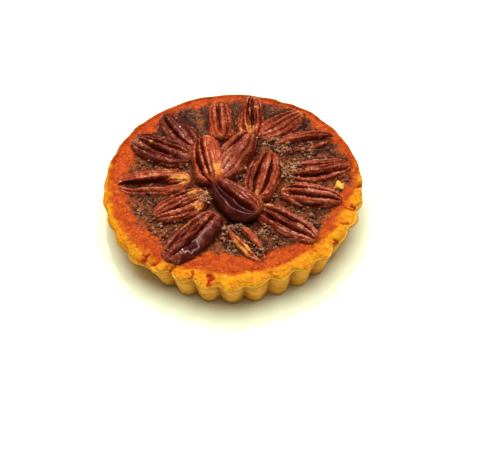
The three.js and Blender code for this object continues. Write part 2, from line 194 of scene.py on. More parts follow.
NUTS = [
    Nut(11.5, 41.6, 6, (30, 14.5, 8.2), 12.8, (3, 8), -0.5, 2.6,
        ((0.44, 0.45, 0.12), (-0.4, 0.58, 0.13)), 0.62),
    Nut(37.5, 43.2, 11, (31, 15, 8), 12, (3, 3), 0.5, 2.3,
        ((-0.2, 0.78, 0.24, 0, -1.2, 1.6), (0.66, 0.28, 0.09)), 0.6),
    Nut(58, 43.8, 32, (27.5, 16.5, 8), 12.6, (3, -8), 0.3, 2.9,
        ((-0.55, 0.22, 0.09), (-0.18, 0.24, 0.09), (0.2, 0.22, 0.09), (0.56, 0.24, 0.09)), 0.6,
        pale=((0.92, 0.1, 0.14),)),
    Nut(77, 43.6, 88, (26, 13.5, 9), 13.2, (5, 0), 0.2, 4.2,
        ((0.56, 0.34, 0.11), (-0.03, 0.55, 0.14, 0, -0.5), (-0.66, 0.38, 0.11), (0.2, 0.2, 0.08)),
        0.85, pale=((-0.7, 0.2, 0.36),)),
    Nut(97.6, 41.4, 93, (26, 13.5, 8.4), 12.8, (0, 2), 0, 4.6,
        ((0.12, 0.32, 0.14), (-0.36, 0.26, 0.1), (-0.75, 0.2, 0.1), (0.62, 0.2, 0.08)), 0.8,
        pale=((0.9, 0.4, 0.16),)),
    Nut(125.3, 43.3, 124, (28, 15, 8.2), 12.6, (0, -6), 0.3, 3.4,
        ((-0.34, 0.46, 0.12), (-0.72, 0.36, 0.1), (0.3, 0.24, 0.12)), 0.1,
        glazed=((-0.1, -0.05, 0.3, 0.5),)),
    Nut(145, 41, 154, (32, 17, 9.2), 12.8, (0, -3), 0.6, 3.2,
        ((-0.3, 0.4, 0.12, -0.1), (-0.62, 0.3, 0.1), (0.18, 0.42, 0.14, -0.3)), 0.16,
        pale=((0.35, -0.1, 0.1),), glazed=((0.3, 0.85, 0.3, 0.5),)),
    Nut(175, 37, 183, (35, 16, 8.4), 12.6, (0, -8), -0.3, 3,
        ((0.2, 0.78, 0.21, 0, -0.35, 1.6), (-0.62, 0.28, 0.1), (0.3, 0.34, 0.1, 0, -1, -0.3)), 0.78,
        pale=((-0.74, -0.05, 0.34), (-0.42, -0.4, 0.16), (0.03, -0.45, 0.12))),
    Nut(207, 27, 208, (28, 17, 9), 12.8, (-1, 4), 0.3, 2.7,
        ((0.28, 0.44, 0.13), (-0.15, 0.34, 0.11), (-0.56, 0.36, 0.12)), 0.65,
        pale=((-0.44, 0.62, 0.17), (-0.6, -0.3, 0.34))),
    Nut(239, 36.4, 229, (35, 17.5, 9.8), 12.8, (-1, 4), 0.7, 2.9,
        ((0.16, 0.62, 0.12), (-0.46, 0.46, 0.11), (-0.16, 0.26, 0.06)), 0.34,
        pale=((-0.15, -0.75, 0.14),), glazed=((-0.1, 0.8, 0.58, 0.9),),
        blisters=((0.36, 0.52, 2, 0.5),), taper=-0.06),
    Nut(279, 36, 305, (25, 13.5, 7), 12.9, (-2, 0), 0.2, 2.4,
        ((0.06, 0.76, 0.24, 0, -1.6), (-0.85, 0.3, 0.1)), 0.7, pale=((0, -0.5, 0.5),)),
    Nut(313.4, 34.6, 323, (33, 16, 8.6), 12.8, (-1, -6), 0.5, 3,
        ((-0.34, 0.74, 0.13), (0.18, 0.46, 0.09), (0.62, 0.3, 0.08)), 0.45,
        pale=((-0.75, 0.45, 0.16),)),
    Nut(346.2, 36.9, 347, (29, 15, 9.2), 12.8, (0, -2), 0.8, 2.6,
        ((0.22, 0.5, 0.1), (-0.36, 0.56, 0.11), (0.66, 0.2, 0.08)), 0.6,
        pale=((-0.45, 0.6, 0.12), (-0.95, 0.1, 0.2))),
    Nut(128, 18.5, 98, (31, 16.5, 9.2), 13.6, (-1, 4), 0, 4,
        ((0.26, 0.62, 0.075, 0.12), (0.6, 0.54, 0.07, 0.12)), 0.9,
        pale=((0.92, -0.1, 0.2), (-0.56, -0.3, 0.34))),
    Nut(86, 17.3, 61, (33, 16.5, 9.2), 13.8, (0, -3), 0.4, 2.8,
        ((0.5, 0.54, 0.13, -0.35), (0.1, 0.2, 0.07, -0.2)), 0.75, glazed=((0.1, -0.3, 0.9, 0.3),)),
    Nut(18, 14.6, 75, (31, 17, 9), 13.6, (0, 3), -0.3, 2.8,
        ((0.7, 0.36, 0.1), (0.34, 0.66, 0.11), (-0.3, 0.3, 0.1)), 0.6, pale=((-0.92, 0, 0.16),)),
    Nut(273.3, 12.3, 137, (28, 16, 9.6), 17, (1, 14), 0.3, 2.7,
        ((0.25, 0.8, 0.14, -0.04), (0.62, 0.76, 0.14, -0.06)), 0.55,
        glazed=((0, 0.7, 0.62, 1), (0.45, -0.35, 0.45, 0.4)), taper=0.26),
]
NUT_OUTLINE = 1 / 2.2  # the power that fills out the oval outline
NUT_ARCH = 0.5  # the same for the line of its back
ARCH_BLUNTER = 0.8  # how much blunter that line is than the outline
NUT_SQUARENESS = 2.5  # the power of its section: 2 is round, more is boxier
NUT_BELLY = 0.16  # how far the flat side swells, as a share of the height
NUT_TIP_RISE = 0.3  # how far the tips curl up, as a share of the height
LINES_DRAW_IN = 0.22  # how far furrows and creases close up towards the nut's ends
DEEPEST_GROOVE = 0.8  # of all of them together, as a share of the height
NUT_CREASES = [  # how many lengthways creases, how deep, how wide: the clear and the fine ones
    (5, (0.12, 0.26), 0.07), (9, (0.03, 0.11), 0.04),
]
# The blister's torn edge is also painted pale as a highlight.
BURST_AT, BURST_WIDTH, BURST_HEIGHT = 1.05, 0.09, 0.25  # the torn edge round a burst blister
FOLD_HEIGHT = 0.11
GLAZE_SMOOTHS = 0.75  # what share of its wrinkles the glaze fills
NUT_RINGS = 118
NUT_COLUMNS_ABOVE = 92
NUT_COLUMNS_BELOW = 22

# Nut crumbs baked into the top: where they lie (x, y), how far they spread, how many, how pale and
# how high up a nut they may lie.
CRUMB_PATCHES = [
    (0, 2, 50, 900, 0.25, 17.9), (18.5, 28, 5, 110, 0.65, 18.4), (24, 23, 4, 70, 0.7, 18.4),
    (26.5, 7, 5.5, 150, 0.72, 18.2), (28.5, 9, 4, 110, 0.72, 21), (7, -31.5, 4, 70, 0.45, 17.9),
    (-1.5, -37, 4, 70, 0.45, 17.9), (10, -39, 3.5, 50, 0.45, 17.9), (-31, -19, 8, 90, 0.4, 17.9),
    (-41, -12, 5, 50, 0.35, 17.9), (22, -33, 7, 90, 0.4, 17.9), (37, -22, 5, 50, 0.3, 17.9),
    (19, 18, 5, 60, 0.6, 17.9), (-17, -29.5, 5, 50, 0.45, 17.9), (-38, 12.5, 4, 30, 0.6, 17.9),
    (34, 18, 6, 90, 0.5, 17.9), (38, 27, 6, 50, 0.5, 17.9), (-13, -9, 3.5, 60, 0.9, 21),
    (12, 33, 4, 50, 0.6, 18.6), (3, 7, 4, 60, 0.8, 18.2), (13.9, -27.5, 3, 45, 0.8, 18.4),
    (-3.2, -26.9, 3, 45, 0.8, 18.4), (2, -27, 2.6, 60, 0.55, 20.5), (16.9, -6.7, 3, 45, 0.8, 18.4),
    (12.4, -40.8, 2.8, 70, 0.5, 20),
]
CRUMB_SIZE = (0.22, 0.95)
CRUMB_STRETCH = [(0.7, 1.7), (0.5, 1.1), (0.4, 0.75)]  # along each of its axes
CRUMB_SHADES = 1.2  # how far the crumbs of one patch differ
PASTRY_CRUMB = (49.3, -2.0, 4.2)  # x, y and size
PASTRY_CRUMB_KNOBS = [  # how far aside and along and how large, as shares of its size, and how pale
    (0, 0, 0.4, 0.85), (0.22, -0.34, 0.28, 0.6), (-0.1, 0.4, 0.26, 0.8), (0.3, 0.14, 0.26, 0.5),
    (-0.26, -0.12, 0.26, 0.95),
]
GRID_CELL, GRID_REACH = 0.8, 64  # of the grid that finds what height the crumbs lie at


# Repeatable unevenness.

def random_from(seed):
    """A repeatable stream of numbers from 0 to 1."""
    state = seed
    while True:
        state = (state * 1664525 + 1013904223) % 4294967296
        yield state / 4294967296


def waver(seed, lowest, highest, size):
    """Smooth unevenness round the pie: whole waves of the counts from lowest to highest."""
    stream = random_from(seed)
    counts = range(lowest, highest + 1)
    phases = [2 * math.pi * next(stream) for _ in counts]
    share = size / math.sqrt(len(counts))
    return lambda turn: sum(share * np.cos(n * turn + phase) for n, phase in zip(counts, phases))


def cell_random(cells, seed):
    """One number from 0 to 1 for each whole-numbered cell."""
    x, y, z = (cells[..., axis].astype(np.int64).astype(np.uint32) for axis in range(3))
    mixed = x * np.uint32(374761393) + y * np.uint32(668265263) + z * np.uint32(2246822519)
    mixed = mixed + np.uint32((seed * 3266489917) % 4294967296)
    mixed = (mixed ^ (mixed >> np.uint32(15))) * np.uint32(2654435761)
    mixed = (mixed ^ (mixed >> np.uint32(13))) * np.uint32(1274126177)
    return (mixed ^ (mixed >> np.uint32(16))) / 4294967295.0


# Lays the lumps' grid askew, so that it never shows.
TILT = np.array(Matrix.Rotation(0.7, 3, Vector((1, 2, 3)).normalized()))


def lumps(points, size, seed):
    """Smooth unevenness from -1 to 1 in swellings of that size, a pattern for each seed."""
    place = points @ TILT.T / size + 0.37 * seed
    low = np.floor(place)
    part = place - low
    part = part * part * part * (part * (6 * part - 15) + 10)
    total = np.zeros(points.shape[:-1])
    for corner in product((0, 1), repeat=3):
        share = np.prod(np.where(corner, part, 1 - part), axis=-1)
        total += share * cell_random(low + corner, seed)
    return 2 * total - 1


def layered(points, layers):
    return sum(high * lumps(points, *how) for high, *how in layers)


def pebbles(points, size, seed, gap):
    """From 0 in the gaps between scattered pebbles to 1 on them."""
    place = points / size
    cell = np.floor(place)
    nearest = np.full(points.shape[:-1], 9.0)
    following = nearest.copy()
    for step in product((-1, 0, 1), repeat=3):
        home = cell + step
        middle = home + np.stack([cell_random(home, seed + axis) for axis in range(3)], axis=-1)
        distance = np.linalg.norm(place - middle, axis=-1)
        following = np.minimum(following, np.maximum(nearest, distance))
        nearest = np.minimum(nearest, distance)
    return smoothstep(following - nearest, *gap)


def between(low, high, share):
    return low + (high - low) * share


def smoothstep(value, low, high):
    part = np.clip((value - low) / (high - low), 0, 1)
    return part * part * (3 - 2 * part)


def degrees_apart(turn, at):
    return (np.degrees(turn) - at + 180) % 360 - 180


# Form of the case and the filling.

seam_waver = waver(11, 4, 14, 0.7)
edge_waver = waver(23, 7, 40, 0.35)
crown_waver = waver(37, 9, 44, 0.5)
crown_place = waver(53, 6, 30, 0.35)


def bulge(turn, at, spread, out):
    return out * np.exp(-((degrees_apart(turn, at) / spread) ** 2))


def front_share(turn):
    angle = (np.degrees(turn) - 90) % 360 + 90  # so that 364 is a little past the right-hand side
    return smoothstep(angle, *FRONT_FROM) * (1 - smoothstep(angle, *FRONT_TO))


def flute_swell(turn, roundness):
    """From 0 in the creases between the flutes to 1 at their middles."""
    place = (degrees_apart(turn, FLUTE_MIDDLE) * FLUTES / 360 + 0.5) % 1
    return np.abs(np.sin(np.pi * place)) ** roundness


def seam_radius(turn):
    radius = between(SEAM_RADIUS_BACK, SEAM_RADIUS_FRONT, front_share(turn))
    return radius + bulge(turn, *SEAM_DIP) + seam_waver(turn)


def edge_at(table, turn):
    """An edge's radius at those angles, from its table."""
    angles, radii = zip(*table)
    return np.interp(np.degrees(turn) % 360, angles, radii, period=360)


def toasted(radius, turn, points):
    """From 0 on the golden pastry to 1 where the oven has turned it and the skin orange."""
    past = radius - edge_at(GOLD_EDGE, turn) - layered(points, TOAST_FRAY)
    return 1 - smoothstep(past, *TOAST_FADE)


def case_profile(turn):
    """Radius and height of the case's corners at each angle, from the middle of its underside over
    the wall and the rim to the middle of its floor."""
    wall_flute = BASE_FLUTE_DEPTH * (1 - flute_swell(turn, WALL_FLUTE_ROUNDNESS))
    slump = sum(bulge(turn, *s) for s in SLUMPS)
    crack = sum(bulge(turn, at, half, deep) for at, half, deep, *_ in CRACKS)
    hang, sink, tuck, smoothed = (
        sum(bulge(turn, at, spread, sizes[i]) for at, spread, *sizes in DROOPS) for i in range(4))
    base = BASE_RADIUS - wall_flute + 0.25 * slump - tuck
    front = front_share(turn)
    edge_flute = between(EDGE_FLUTE_DEPTH_BACK, EDGE_FLUTE_DEPTH_FRONT, front)
    edge_flute = edge_flute * (1 - smoothed) * (1 - flute_swell(turn, EDGE_FLUTE_ROUNDNESS))
    edge = EDGE_RADIUS - edge_flute + slump + hang
    edge = edge + between(0.4, 1, front) * edge_waver(turn) - 0.3 * crack
    under_edge = EDGE_RADIUS - LIP_OUT - (1 - 0.6 * smoothed) * wall_flute
    under_edge = under_edge + slump + hang - 0.3 * tuck
    seam = seam_radius(turn)
    crown = between(seam, edge, 0.42) + crown_place(turn)
    edge_height = EDGE_HEIGHT + 0.3 * crown_waver(turn) - sink
    crown_height = CROWN_HEIGHT + between(0.5, 1, front) * crown_waver(turn) - 0.5 * crack
    level = np.zeros_like(turn)
    return [
        (level + AXIS_RING, level),
        (0.6 * base, level),
        *[(base - inward, level + height) for inward, height in FOOT_ROUNDING],
        (between(base, under_edge, 0.5), level + 0.5 * EDGE_HEIGHT),
        (under_edge, edge_height - LIP_HEIGHT),
        (edge, edge_height - 0.1),
        (edge - 0.8, edge_height + 0.7),
        (between(edge, crown, 0.4), between(edge_height, crown_height, 0.66)),
        (crown, crown_height),
        (between(crown, seam, 0.6), between(crown_height, SEAM_HEIGHT, 0.75)),
        (seam, level + SEAM_HEIGHT - 0.05),
        *[(seam - inward, level + height) for inward, height in UNDER_SEAM],
        (level + FLOOR_RADIUS, level + FLOOR_THICKNESS),
        (level + AXIS_RING, level + FLOOR_THICKNESS),
    ]


# How many rings lie between one corner of the profile and the next.
CASE_RINGS = [2, 4, 3, 2, 14, 14, 4, 3, 8, 8, 8, 5, 3, 3, 3, 3]


def case_rings(turn):
    """The case's rings of points, evenly shared between its corners and then rounded over."""
    corners = np.array(case_profile(turn))  # corner, radius or height, sector
    parts = [between(corner, following, (np.arange(count) / count)[:, None, None])
             for corner, following, count in zip(corners, corners[1:], CASE_RINGS)]
    rings = np.concatenate([*parts, corners[-1:]])
    for _ in range(3):
        rings[1:-1] = 0.25 * rings[:-2] + 0.5 * rings[1:-1] + 0.25 * rings[2:]
    return rings[:, 0], rings[:, 1]


def round_points(radius, height, turn):
    return np.stack([radius * np.cos(turn), radius * np.sin(turn), height + 0 * turn], axis=-1)


def outward(points):
    """Unit normals of a grid of rings whose columns close on themselves."""
    round_it = np.roll(points, -1, axis=1) - np.roll(points, 1, axis=1)
    along_it = np.gradient(points, axis=0)
    normal = np.cross(round_it, along_it)
    return normal / np.maximum(np.linalg.norm(normal, axis=-1, keepdims=True), 1e-9)


def crack_depth(radius, turn, points):
    """Narrow ragged splits that run across the rim."""
    total = np.zeros_like(radius)
    for at, _, deep, start, end, gape in CRACKS:
        aside = np.radians(degrees_apart(turn, at)) * radius
        for i, (far, size) in enumerate(CRACK_WANDER):
            aside = aside + far * lumps(points, size, int(at) + i)
        run = smoothstep(radius, start - 0.8, start + 0.6)
        run = run * (1 - smoothstep(radius, end - 0.6, end + 0.8))
        total += deep * run * np.exp(-(np.abs(aside) / gape) ** 1.3)
    return total


# Meshes.

def add_object(name, data):
    made = bpy.data.objects.new(name, data)
    bpy.context.scene.collection.objects.link(made)
    return made


def make_piece(name, points, faces, masks, material):
    """A smooth piece. masks holds the numbers that its material reads at each point."""
    mesh = bpy.data.meshes.new(name)
    mesh.from_pydata((points * MM).tolist(), [], faces)
    mesh.shade_smooth()
    for mask, values in masks.items():
        kind, field = ("FLOAT", "value") if values.shape[1] == 1 else ("FLOAT_VECTOR", "vector")
        values = values.astype(np.float32).ravel()
        mesh.attributes.new(mask, kind, "POINT").data.foreach_set(field, values)
    mesh.materials.append(material)
    return add_object(name, mesh)


def closed_skin(name, rings, masks, material):
    """A closed piece from rings of points, whose first and last ring close over their middles."""
    count, columns = rings.shape[:2]
    index = np.arange(count * columns).reshape(count, columns)
    following = np.roll(index, -1, axis=1)
    quads = np.stack([index[:-1], following[:-1], following[1:], index[1:]], axis=-1).reshape(-1, 4)
    caps = [(int(b), int(a), count * columns) for a, b in zip(index[0], following[0])]
    caps += [(int(a), int(b), count * columns + 1) for a, b in zip(index[-1], following[-1])]

    def with_poles(values):
        poles = values[[0, -1]].mean(axis=1).reshape(2, -1)
        return np.concatenate([values.reshape(count * columns, -1), poles])

    masks = {mask: with_poles(values) for mask, values in masks.items()}
    return make_piece(name, with_poles(rings), quads.tolist() + caps, masks, material)


def make_case(material):
    turn = np.linspace(0, 2 * np.pi, CASE_SECTORS, endpoint=False)
    radius, height = case_rings(turn)
    points = round_points(radius, height, turn[None])
    turns = np.broadcast_to(turn, radius.shape)
    out = outward(points)
    rim = smoothstep(height, *RIM_HEIGHTS) * smoothstep(radius, *RIM_RADII)
    wall = (1 - rim) * smoothstep(radius, *WALL_RADII) * smoothstep(height, *WALL_HEIGHTS)
    pebbly = layered(points, RIM_PEBBLES) * between(0.3, 1, front_share(turns))
    cracks = crack_depth(radius, turns, points)
    lift = rim * pebbly + wall * layered(points, WALL_GRAIN)
    points = points + out * lift[..., None]
    points[..., 2] -= rim * cracks * smoothstep(height, *CRACKED_HEIGHTS)
    points[..., 2] = np.maximum(points[..., 2], 0)

    above, half, inner = LIP_BAND
    # painted highlight: a bright line along the lip's edge at the front
    lip_highlight = np.exp(-((height - EDGE_HEIGHT - above) / half) ** 2) * (radius > inner)
    masks = {
        "toasted": smoothstep(height, *TOASTED_HEIGHTS) * toasted(radius, turns, points),
        # painted shade: darker in the creases between the wall's flutes
        "crease_shade": 0.7 * wall * (1 - flute_swell(turns, WALL_FLUTE_ROUNDNESS)) ** 2,
        "crack": np.clip(cracks / 0.9, 0, 1) * rim,
        # painted highlight: the pebbles' raised tops are painted lighter
        "swelling_highlight": np.clip(0.5 + pebbly, 0, 1),
        "wall": 1 - smoothstep(height, *BARE_WALL_HEIGHTS),
        "lip_highlight": lip_highlight * front_share(turns),
    }
    return closed_skin("fluted_case", points, masks, material)


def middle_of(nut):
    return nut.out * np.array([math.cos(math.radians(nut.at)), math.sin(math.radians(nut.at))])


def place_of(nut):
    """The matrix that lays a nut in its place."""
    far_end_up, left_side_up = nut.lean
    turned = (Matrix.Rotation(math.radians(nut.heading), 4, "Z")
              @ Matrix.Rotation(math.radians(-far_end_up), 4, "Y")
              @ Matrix.Rotation(math.radians(left_side_up), 4, "X"))
    return np.array(Matrix.Translation((*middle_of(nut), nut.bed)) @ turned)


def distance_to_nuts(points):
    """Roughly how far each point lies outside the nearest nut's outline, seen from above."""
    nearest = np.full(points.shape[:-1], 99.0)
    for nut in NUTS:
        turn = math.radians(nut.heading)
        aside = points[..., :2] - middle_of(nut)
        along = aside[..., 0] * math.cos(turn) + aside[..., 1] * math.sin(turn)
        across = aside[..., 1] * math.cos(turn) - aside[..., 0] * math.sin(turn)
        length, width, _ = nut.size
        reach = np.hypot(along / (length / 2), across / (width / 2))
        nearest = np.minimum(nearest, (reach - 1) * width / 2)
    return nearest


def scattered(stream, reach):
    """A place within that reach of the axis."""
    out, turn = reach * math.sqrt(next(stream)), 2 * math.pi * next(stream)
    return out * math.cos(turn), out * math.sin(turn)


def swelling_of(flat):
    """How high the low round swellings of the baked top stand."""
    stream = random_from(7)
    total = 0
    for _ in range(BUBBLES):
        x, y = scattered(stream, SEAM_RADIUS_BACK)
        radius, height = (between(*span, next(stream)) for span in (BUBBLE_RADIUS, BUBBLE_HEIGHT))
        away = (flat[..., 0] - x) ** 2 + (flat[..., 1] - y) ** 2
        total = total + height * np.exp(-away / radius ** 2)
    return total


def make_filling(material):
    turn = np.linspace(0, 2 * np.pi, FILLING_SECTORS, endpoint=False)[None]
    edge = seam_radius(turn) + SEAM_OVERLAP
    share = np.linspace(1, 0.005, FILLING_RINGS)[:, None]
    radius = edge * share
    turns = np.broadcast_to(turn, radius.shape)
    flat = round_points(radius, np.zeros_like(radius), turns)
    inside = seam_radius(turns) - radius
    fade = np.clip(inside / 6, 0, 1)  # level again where it meets the rim
    rise = (SEAM_HEIGHT - FILLING_HEIGHT) * (radius / edge) ** 3
    level = FILLING_HEIGHT + rise + 0.6 * fade * swelling_of(flat)
    level = level + SKIN_LIFT - SKIN_TUCK * smoothstep(-inside, -0.6, SEAM_OVERLAP)

    in_brown = edge_at(BROWN_EDGE, turns) - radius
    brown = smoothstep(in_brown + layered(flat, BROWN_FRAY), -1.6, 1.6)
    clots = pebbles(flat, CLOT_SIZE, 23, (0.02, 0.5))
    grains = pebbles(flat, GRAIN_SIZE, 24, (0.0, 0.45))
    pits = smoothstep(lumps(flat, PIT_SIZE, 25), 0.25, 0.75)
    rough = CLOT_HEIGHT * clots + GRAIN_HEIGHT * grains - PIT_DEPTH * pits
    rough = rough + HUMP_HEIGHT * lumps(flat, HUMP_SIZE, 26) - 0.2
    from_nuts = np.maximum(distance_to_nuts(flat), 0)
    climb = CLIMB * np.exp(-(from_nuts / CLIMB_REACH) ** 2)
    level = level + brown * (rough + climb) - BROWN_SINK * smoothstep(in_brown, -1.0, 5.0)
    level = level + (1 - brown) * layered(flat, SKIN_SWELLS)

    top = flat.copy()
    top[..., 2] = level
    outward_gap, floor_gap = FILLING_GAP
    side = [round_points(edge - inward, height, turn) for inward, height in FILLING_SIDE]
    side += [round_points(foot, FLOOR_THICKNESS + floor_gap, turn)
             for foot in (FLOOR_RADIUS - outward_gap, AXIS_RING)]
    rings = np.concatenate([top[::-1], *side])[::-1]
    masks = {
        "brown": brown,
        # painted shade in the low pits of the relief
        "shaded_hollow": 1 - np.clip(0.5 + 0.7 * rough, 0, 1),
        # painted shade on the filling next to the nuts
        "shade_by_a_nut": np.exp(-from_nuts / 1.7),
        "toasted": toasted(radius, turns, top),
        "far_side": smoothstep(flat[..., 1] + 5 * lumps(flat, 7, 30), 8, 40),
    }
    spare = np.zeros((len(side), FILLING_SECTORS))
    masks = {name: np.concatenate([spare, values]) for name, values in masks.items()}
    return closed_skin("baked_filling", rings, masks, material)


def nut_grid():
    """The places of a nut's points: along it, and across and up round each of its rings."""
    step = np.linspace(-1, 1, NUT_RINGS + 2)[1:-1, None] * np.pi / 2
    around = np.concatenate([
        np.linspace(0, np.pi, NUT_COLUMNS_ABOVE, endpoint=False),
        np.linspace(np.pi, 2 * np.pi, NUT_COLUMNS_BELOW, endpoint=False)])[None]
    return np.sin(step), np.cos(around), np.sin(around)


ALONG, ACROSS, UP = nut_grid()


def wander_of(number, length):
    """Slow sideways wander from one end of a nut to the other, another one for each seed."""
    line = np.concatenate([ALONG * length / 2, 0 * ALONG, 0 * ALONG], axis=1) + number * 11.7
    return lambda seed: lumps(line, 7.0, seed)[:, None]


def cut_furrows(groove, nut, wander):
    for i, furrow in enumerate(Furrow(*row) for row in nut.furrows):
        line = furrow.place * (1 - LINES_DRAW_IN * ALONG ** 2)
        line = line + furrow.slant * ALONG + 0.07 * wander(40 + i)
        open_here = np.where(ALONG < 0, furrow.start < -OPEN_END, furrow.end > OPEN_END)
        fade = (1 - np.abs(ALONG) ** 5 * ~open_here) * (0.82 + 0.18 * wander(50 + i))
        fade = fade * smoothstep(ALONG, furrow.start - 0.1, furrow.start + 0.1)
        fade = fade * (1 - smoothstep(ALONG, furrow.end - 0.1, furrow.end + 0.1))
        flatness = between(1.15, 2.2, min(1, max(0, furrow.half - 0.14) / 0.16))
        across = np.abs((ACROSS - line) / furrow.half)
        groove = groove + furrow.depth * fade * np.exp(-across ** flatness)
    return groove


def cut_creases(groove, number, glazed, wander):
    """The finer lengthways creases, which the glaze fills."""
    stream = random_from(100 + number)
    for count, depths, half in NUT_CREASES:
        for i in range(count):
            place = between(-0.95, 0.95, (i + next(stream)) / count)
            middle = between(-0.6, 0.6, next(stream))
            line = place * (1 - LINES_DRAW_IN * ALONG ** 2) + 0.08 * wander(70 + i)
            run = np.exp(-((ALONG - middle) / between(0.4, 1.0, next(stream))) ** 4)
            depth = between(*depths, next(stream))
            across = np.abs((ACROSS - line) / half)
            groove = groove + (1 - glazed) * depth * run * np.exp(-across ** 1.5)
    return groove


def glaze_on(nut):
    """How thick the smooth dark glaze lies on each point, from 0 to 1."""
    glazed = np.zeros((NUT_RINGS, ACROSS.shape[1]))
    for along, across, reach, gloss in nut.glazed:
        aside = np.hypot(0.5 * (ALONG - along), ACROSS - across) / reach
        glazed = np.maximum(glazed, gloss * (1 - smoothstep(aside, 0.55, 1.15)))
    return glazed


def pale_on(nut, stretched):
    """How strongly each point is rubbed pale, from 0 to 1."""
    pale = np.zeros((NUT_RINGS, ACROSS.shape[1]))
    for along, across, reach in nut.pale:
        aside = np.hypot(ALONG - along, 0.6 * (ACROSS - across)) / reach
        pale = np.maximum(pale, 1 - smoothstep(aside + 0.35 * lumps(stretched, 1.6, 66), 0.5, 1.1))
    return pale


def make_nut(number, nut, material):
    """One pecan half: its long grooves, the wrinkles over its ridges and its ragged outline."""
    length, width, height = nut.size
    wander = wander_of(number, length)
    widest = (1 - np.abs(ALONG) ** nut.blunt) ** NUT_OUTLINE
    tallest = (1 - np.abs(ALONG) ** (nut.blunt + ARCH_BLUNTER)) ** NUT_ARCH
    full = np.abs(ACROSS) ** NUT_SQUARENESS + np.abs(UP) ** NUT_SQUARENESS
    full = full ** (-1 / NUT_SQUARENESS)
    outline = full * widest * (1 + 0.05 * wander(31))
    glazed = glaze_on(nut)
    groove = cut_furrows(np.zeros_like(glazed), nut, wander)
    groove = cut_creases(groove, number, glazed, wander)
    groove = np.where(UP > 0, np.minimum(groove, DEEPEST_GROOVE), 0)
    x = length / 2 * ALONG + 0 * ACROSS
    y = width / 2 * outline * ACROSS * (1 - nut.taper * ALONG) + nut.bend * (1 - ALONG ** 2)
    z = full * tallest * np.where(UP > 0, height * UP * (1 - groove), NUT_BELLY * height * UP)
    z = z + NUT_TIP_RISE * height * ALONG ** 4
    points = np.stack([x, y, z], axis=-1)

    own = np.broadcast_to(np.array([number * 7.3, 0, 0]), points.shape)  # a pattern of its own
    stretched = points * (0.34, 1, 0.8) + own
    crosswise = points * (1, 0.3, 0.4) + own
    folds = 2 * np.abs(lumps(stretched, 1.3, 61)) + np.abs(lumps(stretched * 1.9, 1.3, 62)) - 0.9
    wrinkle = FOLD_HEIGHT * folds + layered(crosswise, CROSS_WRINKLES)
    wrinkle = wrinkle + layered(points + own, NUT_BEADS)
    wrinkle = wrinkle * (1 - GLAZE_SMOOTHS * glazed) + layered(points + own, NUT_SWELLS)
    burst, shaded_hollow = np.zeros_like(groove), np.zeros_like(groove)
    for along, across, reach, deep in nut.blisters:
        aside = np.hypot(0.6 * (ALONG - along) * length / 2, (ACROSS - across) * width / 2) / reach
        aside = aside * (1 + 0.25 * lumps(points + own, 1.6, 67))
        broken = np.clip(0.9 + 0.7 * lumps(points + own, 1.3, 68), 0, 1)
        burst = np.maximum(burst, broken * np.exp(-((aside - BURST_AT) / BURST_WIDTH) ** 2))
        shaded_hollow = np.maximum(shaded_hollow, np.exp(-(aside / 0.95) ** 8))
        wrinkle = wrinkle - deep * shaded_hollow
        glazed = glazed * (1 - shaded_hollow)
    wrinkle = wrinkle + BURST_HEIGHT * burst
    out = outward(points)
    facing_down = smoothstep(-out[..., 2], -0.75, -0.1)
    lift = wrinkle * smoothstep(UP, -0.1, 0.25) * (1 - 0.5 * np.abs(ALONG) ** 8)
    points = points + out * lift[..., None]

    tips = smoothstep(np.abs(ALONG), 0.86, 1.0)
    pale = pale_on(nut, stretched) * (1 - 0.9 * groove / 0.4 + 1.2 * wrinkle)
    masks = {
        # painted shade in the furrows, the creases and the blister hollows
        "groove": np.clip(groove / 0.5 - 0.8 * wrinkle - 0.06 + 1.2 * shaded_hollow, 0, 1),
        # painted highlight: lighter along the ridge tops
        "ridge_highlight": np.clip(0.5 + 1.5 * wrinkle - 0.9 * groove, 0, 1),
        "pale": np.clip(pale + 0.2 * tips, 0, 1),
        # painted highlight on the blister's torn edge
        "burst": burst,
        "tone": nut.tone * (1 - 0.8 * glazed),
        "place": stretched,
        # painted shade on the low flanks and on what faces down
        "flank_shade": np.maximum(1 - smoothstep(z / height, 0.15, 0.7), facing_down),
        "glazed": glazed,
    }
    masks = {name: values[:, ::-1] for name, values in masks.items()}
    place = place_of(nut)
    points = points @ place[:3, :3].T + place[:3, 3]
    return closed_skin(f"pecan_half_{number:02d}", points[:, ::-1], masks, material)


def heights_of(pieces):
    """The highest point of the pieces over each cell of a square grid."""
    half = int(GRID_REACH / GRID_CELL)
    heights = np.zeros((2 * half, 2 * half))
    for piece in pieces:
        points = np.empty(3 * len(piece.data.vertices))
        piece.data.vertices.foreach_get("co", points)
        points = points.reshape(-1, 3) / MM
        column, row = (np.floor(points[:, axis] / GRID_CELL).astype(int) + half for axis in (0, 1))
        np.maximum.at(heights, (column, row), points[:, 2])
    return lambda x, y: heights[math.floor(x / GRID_CELL) + half, math.floor(y / GRID_CELL) + half]


def chip(middle, size, spin, seed):
    """The points of one knobbly crumb."""
    stretch = np.array([between(*span, share) for span, share in zip(CRUMB_STRETCH, spin)])
    knobbly = KNOB_POINTS * (1 + 0.55 * lumps(KNOB_POINTS + seed, 0.7, 81))[:, None]
    turn = Matrix.Rotation(2 * math.pi * spin[3], 3, "Z") @ Matrix.Rotation(0.7 * spin[4], 3, "X")
    return knobbly * stretch * size @ np.array(turn).T + middle


def knob():
    """A round ball of triangles, the start of every crumb."""
    shape = bmesh.new()
    bmesh.ops.create_icosphere(shape, subdivisions=2, radius=1)
    points = np.array([v.co[:] for v in shape.verts])
    faces = np.array([[v.index for v in f.verts] for f in shape.faces])
    shape.free()
    return points, faces


KNOB_POINTS, KNOB_FACES = knob()


def joined_chips(name, chips, shades, material):
    """Crumbs joined into one piece, each with its own shade."""
    count = len(KNOB_POINTS)
    faces = np.concatenate([KNOB_FACES + count * i for i in range(len(chips))]).tolist()
    masks = {"shade": np.repeat(shades, count)[:, None]}
    return make_piece(name, np.concatenate(chips), faces, masks, material)


